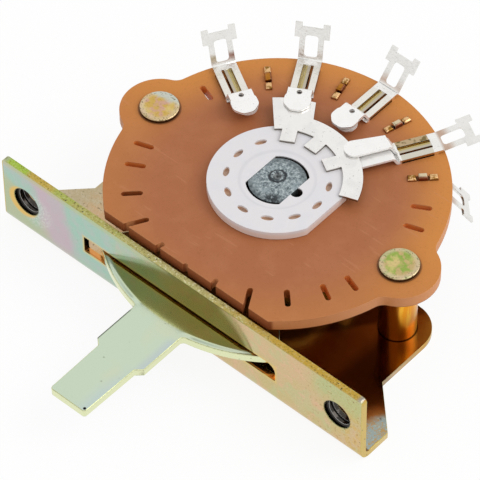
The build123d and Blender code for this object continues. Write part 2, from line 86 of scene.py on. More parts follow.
# Studio: lengths in metres, lamp power in watts, levels as shares of white
KEY_PLACE = (0.35, 0.26, 0.45)
KEY_AIM = (0, 0.01, 0)
KEY_SIZE = 0.4
KEY_POWER = 1.2
SKY_LIGHT = 0.75
DARK_SIDE = (-0.436, -0.35, 0.83)
DARK_START = 0.87
DARK_FULL = 0.96
DARK_DROP = 0.54
FLOOR_SIZE = 4.0
FLOOR_GAP = 0.00002
FLOOR_GLOW = 0.9


def tone(red, green, blue):
    """Colour from the usual 0 to 255 steps, as the shaders take it."""
    steps = [value / 255 for value in (red, green, blue)]
    linear = [s / 12.92 if s <= 0.04045 else ((s + 0.055) / 1.055) ** 2.4 for s in steps]
    return (*linear, 1.0)


class Wire:
    """A value inside a material, so that shader maths reads as plain arithmetic."""

    def __init__(self, paint, socket):
        self.paint = paint
        self.socket = socket

    def __add__(self, other):
        return self.paint.maths("ADD", self, other)

    def __radd__(self, other):
        return self.paint.maths("ADD", other, self)

    def __sub__(self, other):
        return self.paint.maths("SUBTRACT", self, other)

    def __rsub__(self, other):
        return self.paint.maths("SUBTRACT", other, self)

    def __mul__(self, other):
        return self.paint.maths("MULTIPLY", self, other)

    def __rmul__(self, other):
        return self.paint.maths("MULTIPLY", other, self)

    def __neg__(self):
        return 0 - self


class Paint:
    """A node tree under construction."""

    def __init__(self, tree):
        self.tree = tree
        tree.nodes.clear()

    def node(self, kind, settings=None, inputs=None, output=0):
        """Add a node, set it up, feed its sockets and hand back one of its outputs."""
        made = self.tree.nodes.new("ShaderNode" + kind)
        for name, value in (settings or {}).items():
            setattr(made, name, value)
        for name, value in (inputs or {}).items():
            socket = made.inputs[name]
            if isinstance(value, Wire):
                self.tree.links.new(value.socket, socket)
            else:
                socket.default_value = value
        if made.outputs:
            return Wire(self, made.outputs[output])

    def maths(self, operation, first, second=0.0):
        return self.node("Math", {"operation": operation}, {0: first, 1: second})

    def size(self, value):
        """A number without its sign."""
        return self.maths("ABSOLUTE", value)

    def larger(self, first, second):
        return self.maths("MAXIMUM", first, second)

    def rise(self, value, low, high):
        """0 below low, 1 above high and a soft step between."""
        return self.node(
            "MapRange",
            {"interpolation_type": "SMOOTHSTEP"},
            {"Value": value, "From Min": low, "From Max": high},
        )

    def fall(self, value, low, high):
        """1 below low, 0 above high and a soft step between."""
        return 1 - self.rise(value, low, high)

    def band(self, value, low, high, soft):
        """1 between low and high, with soft ends."""
        return self.rise(value, low - soft, low + soft) * self.fall(value, high - soft, high + soft)

    def mix(self, factor, first, second):
        """Colour between two colours."""
        return self.node(
            "Mix",
            {"data_type": "RGBA"},
            {0: factor, 6: first, 7: second},
            output=2,
        )

    def blend(self, base, *layers):
        """Base colour with layers of colour laid over it, each with its mask."""
        for mask, colour in layers:
            base = self.mix(mask, base, colour)
        return base

    def place(self):
        """Place on the object in millimetres, as a vector."""
        spot = self.node("TexCoord", output=3)
        return self.node("VectorMath", {"operation": "SCALE"}, {0: spot, "Scale": 1 / MM})

    def axes(self, vector):
        """The three numbers of a vector."""
        split = self.node("SeparateXYZ", inputs={0: vector})
        return [Wire(self, out) for out in split.socket.node.outputs]

    def noise(self, vector, scale, detail=2.0, roughness=0.5):
        """Soft noise with its scale in waves per millimetre."""
        return self.node(
            "TexNoise",
            None,
            {"Vector": vector, "Scale": scale, "Detail": detail, "Roughness": roughness},
        )

    def apart(self, first, second):
        """Length of a flat vector given by its two numbers."""
        return self.maths("SQRT", first * first + second * second)

    def from_pivot(self, x, y):
        """Distance from the pivot's middle line."""
        return self.apart(x, y - PIVOT_Y)

    def from_post(self, x, y):
        """Distance from the middle line of the nearer spacer post and its rivet."""
        return self.apart(self.size(x) - POST_X, y - PIVOT_Y)

    def round_pivot(self, x, y, first_angle):
        """Angle about the pivot, and millimetres aside of the nearest clip's middle line."""
        angle = self.maths("ARCTAN2", y - PIVOT_Y, x)
        turn = self.node(
            "Math",
            {"operation": "WRAP"},
            {0: angle - radians(first_angle), 1: CLIP_STEP / 2, 2: -CLIP_STEP / 2},
        )
        return angle, turn * self.from_pivot(x, y)

    def bump(self, height):
        """Normal tilted by a height in millimetres."""
        return self.node("Bump", None, {"Height": height, "Strength": 1.0, "Distance": MM})


def new_material(name):
    """A fresh material and the paint to build it with."""
    material = bpy.data.materials.new(name)
    material.use_nodes = True
    return material, Paint(material.node_tree)


def close(paint, **sockets):
    """Finish a material with one principled shader."""
    names = {key: key.replace("_", " ").title().replace("Ior", "IOR") for key in sockets}
    shader = paint.node("BsdfPrincipled", None, {names[key]: value for key, value in sockets.items()})
    paint.node("OutputMaterial", None, {"Surface": shader})


# Heights and places along the part that the finishes follow, in millimetres
PIVOT_Y = PIVOT.y / MM
BORE_X = HOLE_X / MM
BORE_RADIUS = HOLE_RADIUS / MM
PLATE_TOP = PLATE_HIGH.z / MM
PLATE_HALF = PLATE_HIGH.x / MM
FLOOR_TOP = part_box("spacer_left")[0].z / MM
WAFER_TOP = WAFER_HIGH.z / MM
WAFER_MIDDLE = (WAFER_HIGH.z + WAFER_LOW.z) / 2 / MM
ROTOR_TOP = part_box("rotor_upper")[1].z / MM
SHAFT_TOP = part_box("shaft")[1].z / MM
RIVET_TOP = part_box("rivet_right")[1].z / MM
BLADE_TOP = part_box("blade_upper")[1].z / MM
LEVER_LOW, LEVER_TOP = [corner.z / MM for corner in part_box("lever")]
HEAD_RADIUS = 2.05
POST_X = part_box("rivet_right")[1].x / MM - HEAD_RADIUS
POST_RADIUS = 1.95
PUNCH_X = -0.4
PUNCH_Y = 0.45
CHIP_X = 1.3
CHIP_Y = -2.3
SLOT_HALF = 12.7
SLOT_LOW = -1.47
SLOT_HIGH = 0.71
STEM_EDGE = 2.9
STEM_FRONT = -9.6
STEM_BACK = -3.6
TIP_DOT_X = 2.0
TIP_DOT_Y = -15.65

# Radii round the pivot that the finishes follow, in millimetres
SECTOR_RADIUS = 17.98
SHAFT_EDGE = 2.9
BORE_EDGE = 3.6
PIT_INNER = 4.75
PIT_OUTER = 5.65
ROTOR_SIDE = 6.3
JAW_END = 12.6
NECK_INNER = 12.8
NECK_OUTER = 16.2
LUG_START = 17.2
SLIT_INNER = 13.2
SLIT_OUTER = 16.3

# Clips round the pivot: the step and the limits in radians, the first of each side in degrees
CLIP_STEP = radians(30)
UPPER_ANGLE = 60
LOWER_ANGLE = 45
COMMON_LIMIT = radians(70)
LAST_LIMIT = radians(135)
LIMIT_SOFT = radians(2)
CLIPS_FROM = radians(52)
CLIPS_TO = radians(158)


def zinc_sheet():
    """Bright zinc plating whose yellow passivation drifts through teal, lilac, peach and cream."""
    material, paint = new_material("yellow_zinc_sheet")
    spot = paint.place()
    x, y, z = paint.axes(spot)
    wide = paint.size(x)
    drift = paint.noise(spot, 0.21, 1.5)
    cloud = paint.noise(spot, 0.34, 2.0, 0.6)
    mottle = paint.noise(spot, 0.9, 2.0, 0.6)
    grain = paint.noise(spot, 5.5, 2.0, 0.7)
    fleck = paint.noise(spot, 3.2, 1.0, 0.4)
    wander = (drift - 0.5) * 9
    speckle = mottle * 0.4 + grain * 0.6

    # Left of the front face: teal with lilac and lime bands
    lilac = paint.band(x + z * 0.3 + wander, -18.6, -14.8, 1.5)
    lilac_top = paint.rise(z + wander * 0.4, 1.6, 3.6) * paint.rise(-x, 15.0, 18.0)
    lime = paint.rise(-x - z * 0.8 + wander, 19.5, 23.5)
    left_face = paint.blend(
        tone(162, 196, 178),
        (paint.rise(mottle, 0.38, 0.68) * 0.45, tone(188, 186, 184)),
        (lilac_top * 0.5, tone(196, 178, 186)),
        (lilac * 0.85, tone(198, 174, 184)),
        (lime * 0.8, tone(182, 188, 146)),
    )

    # Right of the front face: cream, peach and pale green, with gold and brown specks near the end
    high = paint.rise(z + (mottle - 0.5) * 5, 0.4, 2.8)
    green_corner = high * paint.rise(x + wander * 0.3, 16.5, 19.0)
    gold_end = paint.rise(x, 19.5, 22.5) * paint.rise(mottle, 0.42, 0.56)
    brown_specks = paint.rise(fleck, 0.6, 0.68) * paint.rise(x, 13.0, 21.0)
    right_face = paint.blend(
        tone(200, 182, 126),
        (paint.rise(drift, 0.36, 0.62) * 0.8, tone(212, 179, 138)),
        (paint.rise(cloud, 0.5, 0.6) * 0.5, tone(188, 192, 140)),
        (paint.rise(mottle, 0.52, 0.66) * 0.5, tone(222, 178, 146)),
        (gold_end * 0.6, tone(206, 172, 84)),
        (green_corner * 0.8, tone(180, 188, 130)),
        (paint.rise(grain, 0.54, 0.64) * 0.4, tone(218, 206, 160)),
        (brown_specks * 0.5, tone(168, 128, 66)),
    )

    # Whole front face: paler and limier edges on the left, yellow round the left hole and the slot
    right_side = paint.rise(x + (cloud - 0.5) * 12, -11.0, 3.0)
    left_side = 1 - right_side
    low_edge = paint.rise(-z, 2.6, 4.2) * 0.5
    halo = paint.fall(paint.apart(x + BORE_X + 0.45, z + 0.35), 1.7, 2.15)
    by_left_hole = paint.fall(paint.apart(x + BORE_X - 1.2, z + 0.4), 1.6, 2.8)
    scuff = by_left_hole * paint.rise(grain, 0.5, 0.58)
    across = wide - SLOT_HALF
    along = paint.size(z - (SLOT_LOW + SLOT_HIGH) / 2) - (SLOT_HIGH - SLOT_LOW) / 2
    past_slot = paint.larger(across, along)
    slot_rim = paint.fall(past_slot, 0.04, 0.35)
    face = paint.blend(
        paint.mix(right_side, left_face, right_face),
        (low_edge * left_side, tone(186, 192, 168)),
        (paint.rise(z, 3.3, 4.0) * left_side * 0.5, tone(188, 190, 116)),
        (scuff * 0.7, tone(218, 222, 214)),
        (halo * 0.85, tone(230, 184, 84)),
        (slot_rim * 0.6, tone(230, 196, 110)),
    )

    # Floor and back of the plate: deep gold, pale grey to the left, blue-grey in the right corner
    gold = paint.mix(paint.rise(cloud, 0.4, 0.62), tone(206, 150, 60), tone(214, 164, 72))
    on_floor = paint.fall(z, FLOOR_TOP + 0.2, FLOOR_TOP + 0.75)
    left_ear = paint.rise(-x, 10.5, 14.0)
    ear_colour = paint.blend(
        tone(200, 168, 130),
        (paint.rise(-x + (mottle - 0.5) * 5, 16.0, 19.5), tone(180, 166, 134)),
        (paint.rise(speckle, 0.44, 0.6) * 0.4, tone(204, 196, 172)),
        (paint.rise(fleck, 0.68, 0.72) * 0.6, tone(112, 98, 78)),
    )
    right_ear = paint.rise(x, 15.0, 18.5) * paint.rise(y, 12.5, 15.0) * on_floor
    # Painted shade: a dark reflection of the post on the floor in front of it, and a darker floor under
    # the front of the wafer
    before_post = paint.rise(PIVOT_Y - y, 0.2, 1.6) * paint.rise(x, POST_X - 1.5, POST_X + 0.5)
    post_reflection_shade = before_post * on_floor
    shaded = paint.band(y * 0.58 - x * 0.815, -3.4, -0.5, 0.4) * paint.rise(x, 3.0, 5.0)
    under_wafer = shaded * on_floor
    corner = x - y * 0.4
    corner_colour = paint.blend(
        tone(182, 150, 96),
        (paint.rise(speckle, 0.4, 0.52), tone(152, 170, 168)),
        (paint.rise(grain, 0.62, 0.7) * 0.7, tone(206, 206, 180)),
    )
    # Painted contact shadow: a dark ring on the floor round the foot of each post
    post_foot_shadow = paint.fall(paint.from_post(x, y), POST_RADIUS + 0.03, POST_RADIUS + 0.17)
    floor_edge = paint.fall(z, FLOOR_TOP - 0.15, FLOOR_TOP - 0.05)
    inside = paint.blend(
        gold,
        (post_reflection_shade * 0.9, tone(138, 98, 40)),
        (under_wafer * 0.85, tone(120, 72, 26)),
        (left_ear * 0.95, ear_colour),
        (right_ear * 0.6, tone(232, 172, 62)),
        (paint.rise(corner, 17.2, 18.8) * on_floor * 0.9, tone(160, 112, 60)),
        (paint.rise(corner + (mottle - 0.5) * 2, 19.4, 20.6) * on_floor * 0.9, corner_colour),
        (post_foot_shadow * 0.9, tone(60, 30, 12)),
        (floor_edge * 0.8, tone(190, 148, 64)),
    )

    # Top edge: lime and gold by turns at the left end, cream and specked in the middle, gold to the right
    top = paint.rise(z, PLATE_TOP - 0.2, PLATE_TOP - 0.05)
    left_top = paint.blend(
        tone(176, 172, 100),
        (paint.rise(cloud, 0.46, 0.58) * 0.5, tone(166, 184, 84)),
        (paint.band(x + wander * 0.1, -20.4, -17.0, 0.6), tone(192, 166, 78)),
        (paint.rise(-x - wander * 0.1, 20.0, 21.0), tone(164, 190, 74)),
    )
    cream_specks = paint.rise(grain, 0.56, 0.64) * (1 - paint.rise(wide, 2.0, 12.0) * 0.7)
    top_colour = paint.blend(
        tone(186, 178, 118),
        (paint.rise(-x, 2.0, 12.0), left_top),
        (paint.rise(x + (mottle - 0.5) * 16, 2.0, 14.0), tone(190, 156, 66)),
        (paint.rise(-x, 22.8, 23.4) * 0.8, tone(170, 176, 150)),
        (paint.rise(x, 22.9, 23.4) * 0.8, tone(150, 154, 156)),
        (cream_specks, tone(222, 218, 186)),
        (paint.fall(grain, 0.34, 0.42), tone(126, 112, 62)),
    )

    # Plate ends, slot walls, pits and bores over all of that
    behind = paint.rise(y, 0.1, 0.6)
    end = paint.rise(wide, PLATE_HALF - 0.14, PLATE_HALF - 0.06)
    slot_wall = paint.band(y, 0.06, 0.66, 0.04) * paint.fall(past_slot, 0.05, 0.1)
    slot_lip = slot_wall * paint.fall(y, 0.16, 0.3)
    # Painted shade: the slot's end walls nearly black
    slot_end = slot_wall * paint.rise(wide, SLOT_HALF - 0.1, SLOT_HALF - 0.03)
    pitted = paint.larger(paint.rise(x, 17.0, 21.0) * 0.7, 0.12 + 0.88 * top)
    # Painted shade: the bores of the mounting holes dark
    bore = paint.fall(paint.apart(wide - BORE_X, z), BORE_RADIUS + 0.03, BORE_RADIUS + 0.09)
    colour = paint.blend(
        paint.mix(behind, face, inside),
        (end, tone(206, 176, 92)),
        (top, top_colour),
        (slot_wall, paint.mix(slot_lip, tone(214, 148, 84), tone(228, 142, 56))),
        (slot_end, tone(52, 36, 22)),
        (paint.rise(fleck, 0.71, 0.75) * pitted, tone(84, 80, 66)),
        (bore, tone(66, 62, 58)),
    )
    rough = 0.12 + left_ear * behind * 0.14 + right_ear * 0.1 + top * 0.2 + grain * 0.05
    height = cloud * 0.012 + grain * 0.0015 + top * grain * 0.012
    close(
        paint,
        base_color=colour,
        metallic=1 - slot_lip * 0.6,
        roughness=rough,
        normal=paint.bump(height),
    )
    return material


def zinc_edge():
    """Thicker passivation on the rounded edges of the plated sheet."""
    material, paint = new_material("yellow_zinc_edge")
    spot = paint.place()
    patch = paint.noise(spot, 0.5, 2.0)
    grain = paint.noise(spot, 6.0, 2.0, 0.7)
    colour = paint.blend(
        tone(204, 186, 112),
        (paint.rise(patch, 0.45, 0.6), tone(196, 204, 130)),
        (paint.rise(grain, 0.56, 0.66) * 0.8, tone(112, 104, 62)),
    )
    close(paint, base_color=colour, metallic=1.0, roughness=0.3, normal=paint.bump(grain * 0.01))
    return material


def zinc_lever():
    """Pale green plating of the lever, olive on the sector, blue-grey along the right, rim rolled."""
    material, paint = new_material("yellow_zinc_lever")
    spot = paint.place()
    x, y, z = paint.axes(spot)
    radius = paint.from_pivot(x, y)
    drift = paint.noise(spot, 0.18, 2.0)
    cloud = paint.noise(spot, 0.45, 2.0)
    grain = paint.noise(spot, 5.0, 2.0, 0.7)
    fleck = paint.noise(spot, 2.1, 1.0, 0.4)
    sector = paint.fall(radius, SECTOR_RADIUS - 0.8, SECTOR_RADIUS - 0.4)
    olive = paint.blend(
        tone(206, 210, 146),
        (paint.rise(cloud, 0.46, 0.66) * 0.5, tone(184, 210, 148)),
        (paint.rise(grain * 0.4 + cloud * 0.6, 0.5, 0.6) * 0.25, tone(214, 188, 120)),
    )
    wall = paint.band(z, LEVER_LOW + 0.06, LEVER_TOP - 0.06, 0.03)
    upper = paint.rise(z, LEVER_TOP - 0.2, LEVER_TOP - 0.1)
    tip_right = paint.rise(x, 0.6, 2.6) * paint.rise(-y, 8.0, 13.0)
    stem_right = paint.rise(x, 1.9, 2.9) * paint.band(y, STEM_FRONT, STEM_BACK - 0.2, 0.6)
    # Painted shade: a dark line along the top left edge of the stem
    left_edge_shade = paint.rise(-x, STEM_EDGE, STEM_EDGE + 0.08) * paint.band(y, STEM_FRONT, STEM_BACK, 0.2)
    dot = paint.fall(paint.apart(x - TIP_DOT_X, y - TIP_DOT_Y), 0.12, 0.2)
    colour = paint.blend(
        tone(198, 213, 190),
        (paint.rise(drift, 0.5, 0.68) * 0.6, tone(206, 212, 182)),
        (tip_right * 0.7, tone(188, 204, 208)),
        (stem_right * 0.7, tone(186, 198, 202)),
        (sector, olive),
        (wall, tone(226, 230, 186)),
        (left_edge_shade * upper * 0.8, tone(70, 72, 60)),
        (paint.rise(fleck, 0.75, 0.78) * 0.4, tone(120, 126, 112)),
        (dot, tone(28, 28, 26)),
    )
    beside_stem = paint.rise(paint.size(x), 2.6, 4.2)
    rolled = paint.rise(radius, SECTOR_RADIUS - 0.65, SECTOR_RADIUS) * beside_stem
    rough = 0.12 + grain * 0.06
    height = drift * 0.01 + grain * 0.002 - rolled * 0.12
    close(paint, base_color=colour, metallic=1.0, roughness=rough, normal=paint.bump(height))
    return material


def lever_edge():
    """Yellow-green rim of the lever, with painted shade along the top left of the stem, dark behind the
    plate.
    """
    material, paint = new_material("yellow_zinc_lever_edge")
    spot = paint.place()
    x, y, z = paint.axes(spot)
    grain = paint.noise(spot, 5.0, 2.0, 0.7)
    upper = paint.rise(z, LEVER_TOP - 0.2, LEVER_TOP - 0.1)
    # Painted shade: dark along the top left edge of the stem
    left_edge_shade = paint.rise(-x, STEM_EDGE, STEM_EDGE + 0.1) * paint.band(y, STEM_FRONT, STEM_BACK, 0.2)
    colour = paint.blend(
        tone(210, 214, 168),
        (paint.rise(grain, 0.5, 0.7), tone(170, 174, 130)),
        (left_edge_shade * upper * 0.9, tone(58, 60, 50)),
        (paint.rise(y, 3.2, 3.7) * 0.9, tone(84, 62, 34)),
    )
    close(paint, base_color=colour, metallic=1.0, roughness=0.3)
    return material


def golden_post():
    """Deep yellow plating of the spacer posts, with painted shade towards the pivot, towards the floor
    and round the foot.
    """
    material, paint = new_material("golden_post")
    spot = paint.place()
    x, y, z = paint.axes(spot)
    drawn = paint.node("Mapping", None, {"Vector": spot, "Scale": (1.0, 1.0, 0.12)})
    streak = paint.noise(drawn, 3.0, 2.0)
    outward = (paint.size(x) - POST_X) * 0.74 + (y - PIVOT_Y) * 0.67
    colour = paint.blend(
        tone(230, 150, 26),
        (paint.rise(streak, 0.4, 0.65), tone(240, 176, 54)),
        # Painted shade: darker down towards the floor, on the side towards the pivot, and a dark band at
        # the foot as a contact shadow
        (paint.fall(z, FLOOR_TOP + 0.6, FLOOR_TOP + 5.2) * 0.9, tone(116, 60, 10)),
        (paint.fall(outward + streak * 0.3, 0.0, 0.3) * 0.9, tone(156, 92, 22)),
        (paint.fall(z, FLOOR_TOP + 0.05, FLOOR_TOP + 0.15) * 0.8, tone(50, 26, 10)),
    )
    close(paint, base_color=colour, metallic=1.0, roughness=0.2 + streak * 0.1)
    return material


def rivet_plating():
    """Speckled rivet heads, gold and pink left, green and cream right, with painted highlights on the
    rims and at the back of the left head, and painted shade on the walls.
    """
    material, paint = new_material("speckled_rivet")
    spot = paint.place()
    x, y, z = paint.axes(spot)
    patch = paint.noise(spot, 0.62, 2.0)
    cloud = paint.noise(spot, 1.3, 3.0)
    grain = paint.noise(spot, 5.0, 2.0, 0.7)
    right_side = paint.rise(x, -1.0, 1.0)
    left_head = paint.mix(paint.rise(cloud, 0.46, 0.6), tone(204, 170, 92), tone(206, 164, 138))
    right_head = paint.mix(paint.rise(cloud, 0.44, 0.58), tone(150, 172, 84), tone(196, 172, 120))
    # Painted highlight: a pale band round the rim of each head
    rim = paint.rise(paint.from_post(x, y), HEAD_RADIUS - 0.7, HEAD_RADIUS - 0.3)
    # Painted shade: the side wall of each head dark
    wall = paint.fall(z, RIVET_TOP - 0.16, RIVET_TOP - 0.04)
    # Painted highlight: a blue-grey shine at the back of the left head
    shine = paint.rise(y - PIVOT_Y - x * 0.2 + cloud, 4.4, 5.0) * (1 - right_side)
    colour = paint.blend(
        paint.mix(right_side, left_head, right_head),
        (paint.rise(patch, 0.5, 0.64) * 0.6, tone(222, 202, 136)),
        (rim * 0.6, tone(214, 196, 166)),
        (shine * 0.8, tone(196, 206, 198)),
        (paint.rise(grain, 0.56, 0.66) * (0.3 + 0.6 * rim), tone(96, 86, 58)),
        (wall * 0.9, tone(58, 36, 16)),
    )
    rough = 0.28 + rim * 0.12
    height = cloud * 0.045 + grain * 0.01
    close(paint, base_color=colour, metallic=1.0, roughness=rough, normal=paint.bump(height))
    return material


def laminate():
    """Brown resin laminate, more orange towards the rim, with painted light on its walls, lip and back
    slits, painted shade on its front, and painted shadows round the rivets.
    """
    material, paint = new_material("brown_laminate")
    spot = paint.place()
    x, y, z = paint.axes(spot)
    radius = paint.from_pivot(x, y)
    mottle = paint.noise(spot, 0.35, 3.0, 0.6)
    grain = paint.noise(spot, 4.5, 3.0, 0.7)
    rim = paint.rise(radius, 11.5, 17.6) * (0.35 + 0.65 * paint.rise(y, 6.0, 20.0))

    # Cut walls lighter as painted light, the slits' walls with painted light at the back and painted
    # shade at the front, the front wall in painted shade, and a painted highlight along the lip above
    # them
    wall = paint.fall(z, WAFER_TOP - 0.16, WAFER_TOP - 0.05)
    # Painted highlight: a light line along the top bevel of every edge and slit
    lip_highlight = paint.band(z, WAFER_TOP - 0.065, WAFER_TOP - 0.012, 0.01)
    below = paint.fall(z, WAFER_MIDDLE - 0.64, WAFER_MIDDLE - 0.56)
    # Painted light on the slit walls towards the back, painted shade on those at the front
    slit = wall * paint.band(radius, SLIT_INNER, SLIT_OUTER, 0.1) * paint.rise(y, 2.0, 2.4)
    slit_colour = paint.mix(paint.rise(y, 5.0, 7.0), tone(162, 88, 42), tone(222, 136, 68))
    # Painted shade on the front wall, which faces the plate
    front_wall = wall * paint.fall(y, 1.35, 1.6)
    # Painted contact shadow: a dark ring on the laminate round each rivet head
    rivet_shadow = paint.fall(paint.from_post(x, y), HEAD_RADIUS + 0.05, HEAD_RADIUS + 0.25)

    # Light that reaches the laminate through the neck windows, on the far side of each clip
    angle, aside = paint.round_pivot(x, y, UPPER_ANGLE)
    mirrored = 1 - 2 * paint.rise(angle, LAST_LIMIT - LIMIT_SOFT, LAST_LIMIT + LIMIT_SOFT)
    gap = paint.band(aside * mirrored, 0.15, 0.7, 0.05)
    gap = gap * paint.band(radius, NECK_INNER - 0.2, NECK_OUTER + 0.2, 0.05)
    gap = gap * paint.band(angle, CLIPS_FROM, CLIPS_TO, 0.02)
    gap = gap * paint.fall(paint.size(aside), 0.7, 0.8)

    # Fine scratches, drawn slantwise over the top
    slanted = {"Vector": spot, "Rotation": (0, 0, 0.5), "Scale": (0.12, 1.6, 1.0)}
    streak = paint.noise(paint.node("Mapping", None, slanted), 1.8, 1.0)
    scratch = paint.rise(streak, 0.66, 0.7) * paint.rise(mottle, 0.46, 0.56)
    colour = paint.blend(
        tone(171, 104, 64),
        (paint.rise(mottle, 0.4, 0.66) * 0.5, tone(180, 114, 74)),
        (rim * 0.9, tone(212, 138, 62)),
        # Painted light: the cut walls lighter than the top
        (wall * 0.8, tone(206, 140, 92)),
        (scratch * 0.2, tone(206, 142, 102)),
        (slit, slit_colour),
        (front_wall, tone(146, 80, 44)),
        (below, tone(140, 78, 44)),
        (lip_highlight * 0.6, tone(226, 162, 116)),
        (rivet_shadow * 0.7, tone(78, 42, 20)),
        (gap, tone(252, 238, 176)),
        (paint.rise(grain, 0.56, 0.7) * 0.2, tone(140, 80, 46)),
    )
    height = grain * 0.006 + mottle * 0.01
    close(
        paint,
        base_color=colour,
        roughness=0.46 + grain * 0.1,
        specular_ior_level=0.3,
        normal=paint.bump(height),
    )
    return material


def white_moulding():
    """White moulding with warm staking pits, painted shade in the bore, in the dish and on the lower
    face, and painted warm reflected light on its sides.
    """
    material, paint = new_material("white_moulding")
    spot = paint.place()
    x, y, z = paint.axes(spot)
    radius = paint.from_pivot(x, y)
    depth = ROTOR_TOP - WAFER_MIDDLE - paint.size(z - WAFER_MIDDLE)
    cloud = paint.noise(spot, 0.6, 2.0)
    grain = paint.noise(spot, 4.0, 2.0)
    pit = paint.rise(depth, 0.1, 0.35) * paint.band(radius, PIT_INNER, PIT_OUTER, 0.05)
    pit_colour = paint.mix(paint.rise(cloud, 0.4, 0.6), tone(196, 168, 148), tone(214, 176, 146))
    # Painted shade: the bore round the shaft dark
    bore = paint.rise(depth, 0.18, 0.4) * paint.fall(radius, BORE_EDGE, BORE_EDGE + 0.1)
    # Painted reflection: warm light from the laminate on the sides
    side = paint.rise(radius, ROTOR_SIDE, ROTOR_SIDE + 0.15) * paint.rise(depth, 0.15, 0.6)
    # Painted shade: a faint grey ring in the dish round the bore
    dish = paint.band(radius, BORE_EDGE + 0.05, BORE_EDGE + 0.5, 0.12) * paint.rise(depth, 0.02, 0.08)
    # Painted shade: the lower face darker brown
    underside_shade = paint.fall(depth, 0.05, 0.12) * paint.fall(z, WAFER_MIDDLE - 1.0, WAFER_MIDDLE)
    colour = paint.blend(
        tone(230, 227, 229),
        (paint.rise(cloud, 0.45, 0.65) * 0.4, tone(222, 222, 228)),
        (dish * 0.3, tone(204, 204, 208)),
        (side * 0.7, tone(230, 206, 190)),
        (underside_shade * 0.8, tone(140, 92, 52)),
        (pit, pit_colour),
        (bore, tone(58, 50, 46)),
    )
    height = cloud * 0.012 + grain * 0.0025
    close(paint, base_color=colour, roughness=0.4, specular_ior_level=0.4, normal=paint.bump(height))
    return material


def silver_strip(name, side, first_angle, jaw_shade):
    """Silver-plated clip strip: bright and slightly crumpled, brass in the neck and where clinched."""
    material, paint = new_material(name)
    spot = paint.place()
    x, y, z = paint.axes(spot)
    radius = paint.from_pivot(x, y)
    height = (z - WAFER_MIDDLE) * side
    crumple = paint.noise(spot, 1.5, 2.0, 0.6)
    cloud = paint.noise(spot, 0.7, 2.0)
    fleck = paint.noise(spot, 5.0, 1.0, 0.5)

    # Which clip it is, and which part of the clip
    angle, aside = paint.round_pivot(x, y, first_angle)
    common = paint.fall(angle, COMMON_LIMIT - LIMIT_SOFT, COMMON_LIMIT + LIMIT_SOFT)
    last_throw = paint.rise(angle, LAST_LIMIT - LIMIT_SOFT, LAST_LIMIT + LIMIT_SOFT)
    neck = paint.band(radius, NECK_INNER, NECK_OUTER, 0.05) * paint.rise(height, 0.55, 0.6)
    inner = neck * paint.fall(height, 1.02, 1.08)
    tongue = neck * paint.band(height, 1.09, 1.14, 0.01)
    lug = paint.rise(radius, LUG_START - 0.2, LUG_START + 0.2)
    jaw = paint.fall(radius, JAW_END - 0.2, JAW_END + 0.2)
    inside_jaw = jaw * paint.fall(height, 2.15, 2.25)
    clinch = paint.rise(-height, 0.6, 0.66)
    clinch_middle = clinch * paint.band(radius, 13.95, 15.05, 0.06)

    # Painted reflections of the laminate at the feet of the lugs, olive and painted shade in the neck
    # windows, brass at the clinches with painted shade at their feet, painted shade on the lower jaws
    lug_foot_reflection = lug * paint.fall(height + cloud, 1.5, 3.0) * paint.fall(radius, 17.7, 18.7)
    # Painted reflection of the laminate on the legs of the last throw's lug, red-brown on one leg and
    # olive on the other
    last_legs = lug * last_throw * paint.fall(height + cloud * 0.5, 2.2, 2.7)
    legs_colour = paint.mix(paint.rise(aside, -0.2, 0.2), tone(142, 90, 70), tone(174, 158, 128))
    rail_colour = paint.mix(paint.rise(crumple, 0.46, 0.58), tone(186, 164, 130), tone(126, 110, 72))
    end_colour = paint.mix(paint.rise(crumple, 0.46, 0.6), tone(222, 180, 130), tone(146, 104, 42))
    middle_colour = paint.mix(paint.rise(x, -2.0, 2.0), tone(172, 112, 40), tone(212, 196, 164))
    olive_side = paint.rise(aside * (1 - last_throw * 2), 0.0, 0.1)
    # Painted shade: the lower walls of the neck windows dark
    window_shade = inner * paint.fall(height, 0.8, 1.0) * (1 - olive_side)
    colour = paint.blend(
        tone(240, 238, 234),
        (paint.rise(cloud, 0.45, 0.62) * 0.35, tone(226, 224, 218)),
        (lug * 0.4, tone(222, 222, 218)),
        (jaw * 0.6, tone(249, 248, 247)),
        (lug_foot_reflection * 0.75, tone(178, 134, 100)),
        (paint.rise(fleck, 0.7, 0.74) * 0.35, tone(136, 130, 120)),
        (neck * 0.35, tone(214, 206, 186)),
        (neck * common * paint.rise(aside, 0.5, 0.6), rail_colour),
        (neck * common * paint.rise(-aside, 0.5, 0.6) * 0.8, tone(204, 200, 184)),
        (tongue * 0.8, tone(176, 164, 142)),
        (tongue * olive_side * 0.8, tone(184, 166, 98)),
        (inner, tone(190, 156, 84)),
        (window_shade, tone(40, 30, 22)),
        (last_legs * 0.85, legs_colour),
        (clinch, end_colour),
        (clinch_middle, middle_colour),
        (clinch_middle * paint.fall(aside, -0.3, -0.1), tone(128, 78, 56)),
        # Painted shade: dark brown round the feet of the clinches
        (clinch * paint.fall(-height, 0.68, 0.84), tone(84, 48, 26)),
        # Painted shade: the jaws of the lower strips darker brown
        (jaw * jaw_shade, tone(150, 110, 66)),
    )
    close(
        paint,
        base_color=colour,
        metallic=1 - inside_jaw * 0.7,
        roughness=0.2 + cloud * 0.08,
        normal=paint.bump(crumple * 0.045),
    )
    return material


